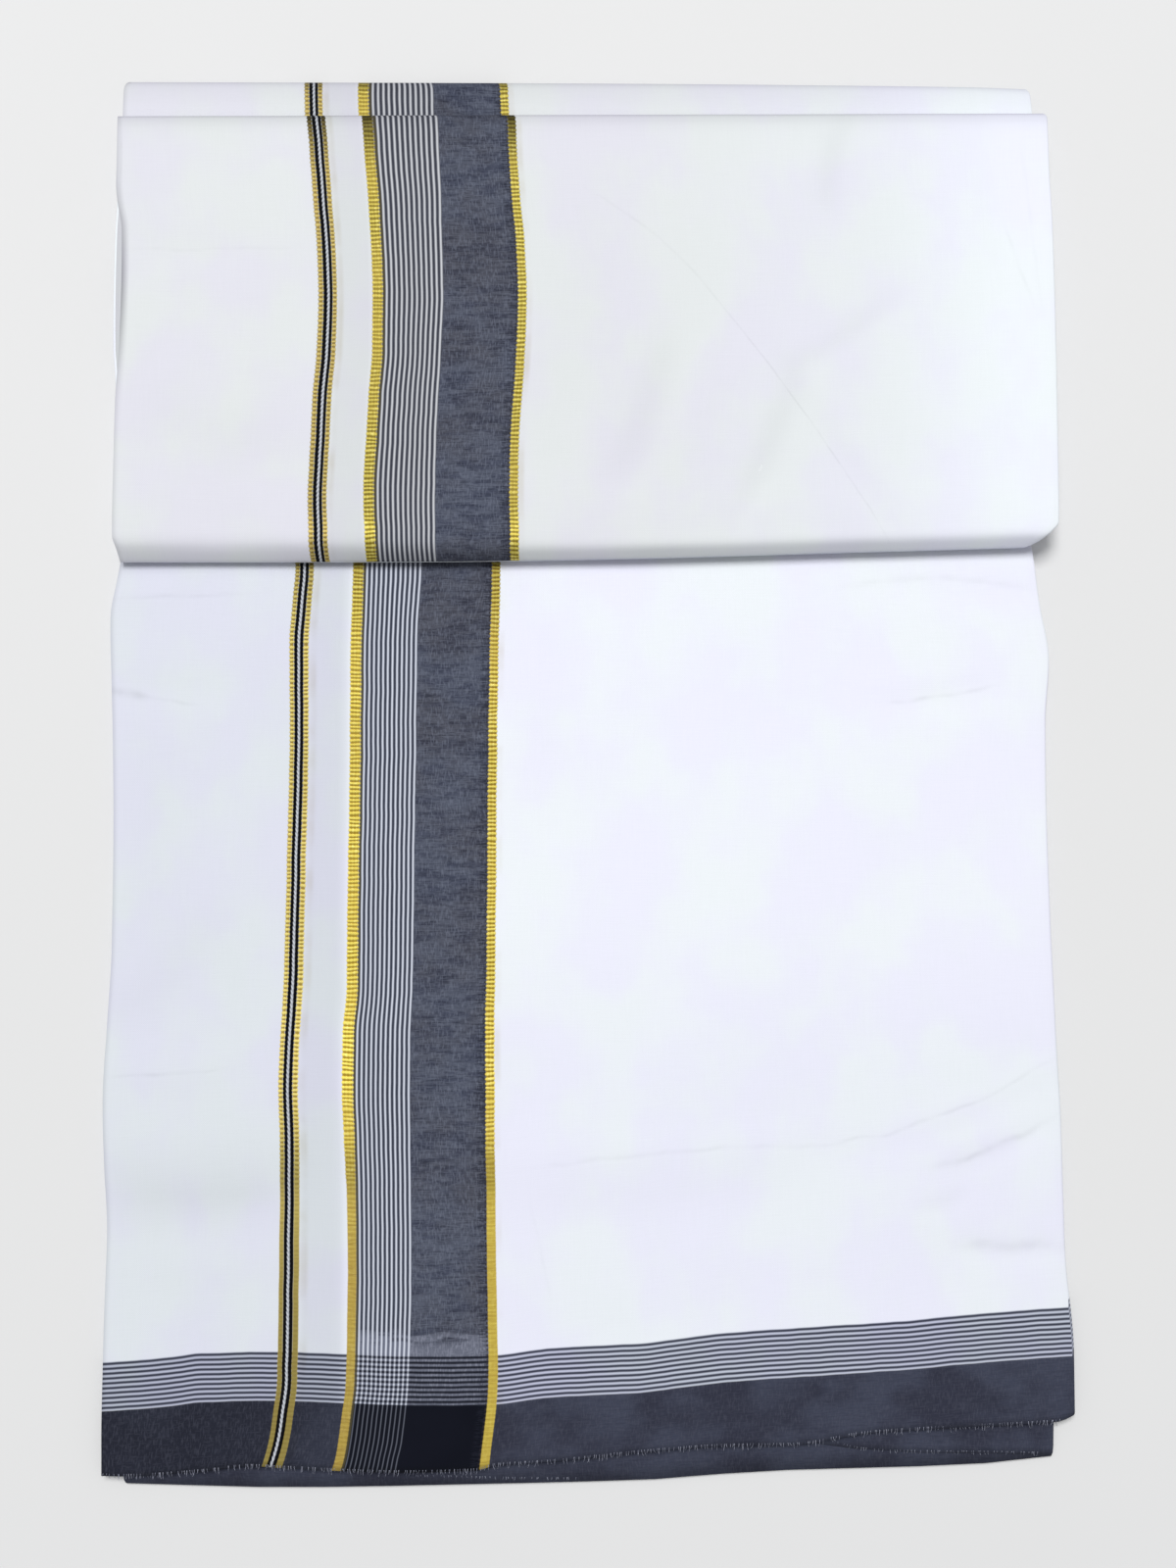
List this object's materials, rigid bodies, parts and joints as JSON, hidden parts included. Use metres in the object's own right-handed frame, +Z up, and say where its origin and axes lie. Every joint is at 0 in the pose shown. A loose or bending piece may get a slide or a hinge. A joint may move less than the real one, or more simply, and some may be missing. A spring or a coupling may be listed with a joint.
{
  "type": "folded dhoti cloth",
  "caption": "White cotton dhoti folded flat, with a striped warp border, gold ribs and a dark woven band at its open end.",
  "frame": {"origin": "on the surface the bundle lies on, under the middle of its bounding box", "axes": "+X across the folded cloth towards its folded edge, +Y along it from the open end to the back fold, +Z up from the surface"},
  "size_m": [0.3225, 0.4774, 0.0123],
  "materials": {
    "white_cotton": "plain-woven bleached cotton, matt, with a striped warp border and gold ribs",
    "end_band": "dark slate woven end band, matt, with frayed cut threads"
  },
  "bodies": {
    "root": {"upper_leaves": "white_cotton", "lower_leaves": "end_band", "back_fold": "white_cotton", "front_fold": "white_cotton"}
  },
  "joints": []
}
